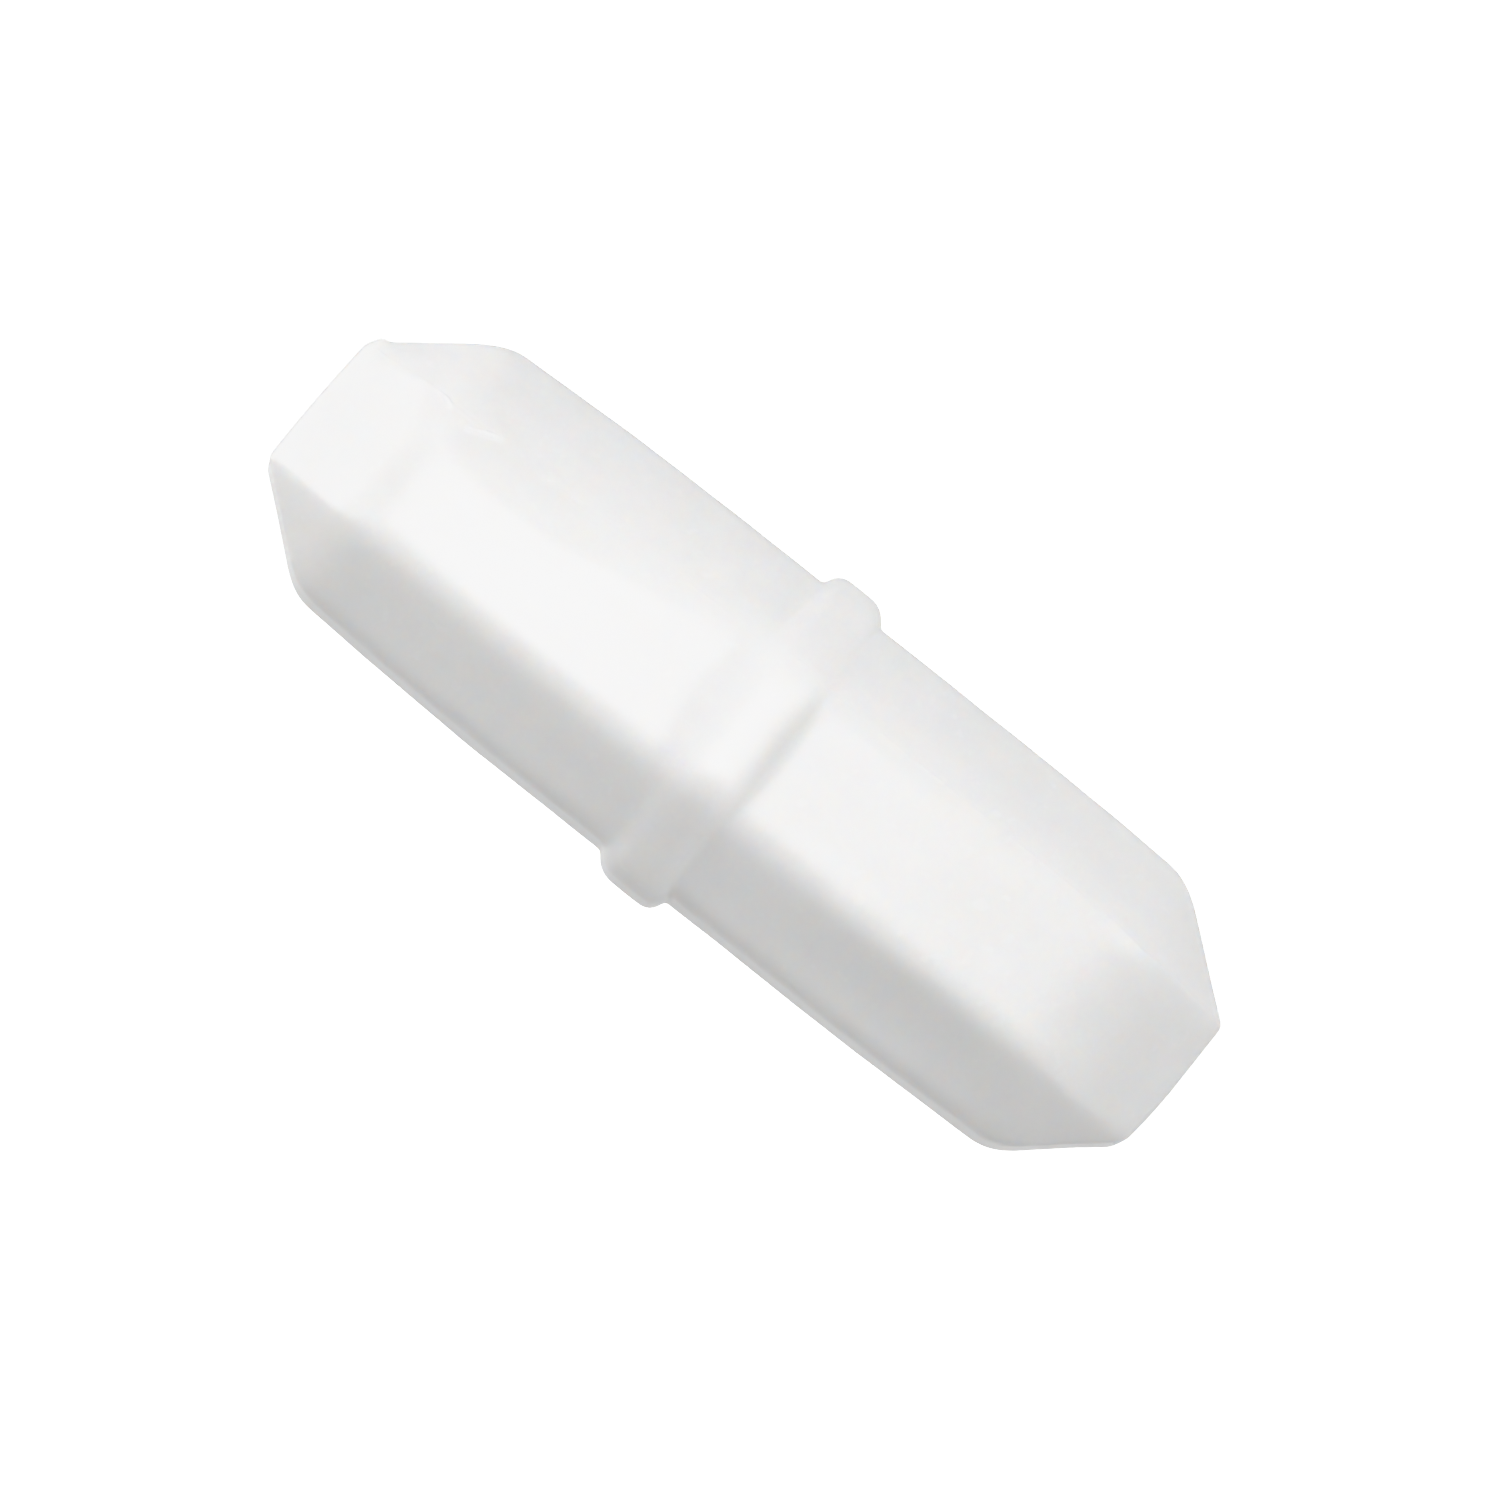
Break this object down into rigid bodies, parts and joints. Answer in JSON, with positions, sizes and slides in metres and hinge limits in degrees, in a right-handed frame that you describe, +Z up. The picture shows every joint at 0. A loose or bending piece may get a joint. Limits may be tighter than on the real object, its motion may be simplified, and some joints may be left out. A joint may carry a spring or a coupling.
{
  "type": "magnetic stirring bar",
  "caption": "Octagonal magnetic stirring bar in a white PTFE jacket, with bevelled ends and a moulded octagonal pivot ring round its middle.",
  "frame": {"origin": "on the surface the bar stands on, under the middle of the pivot ring", "axes": "+X along the bar, +Z up, out of one of the four wide facets"},
  "size_m": [0.0254, 0.0088, 0.0088],
  "materials": {
    "ptfe": "waxy satin white, slightly translucent",
    "alnico": "ground grey alloy, sealed inside the jacket"
  },
  "bodies": {
    "root": {"jacket_front": "ptfe", "jacket_rear": "ptfe", "magnet_core": "alnico"}
  },
  "joints": []
}
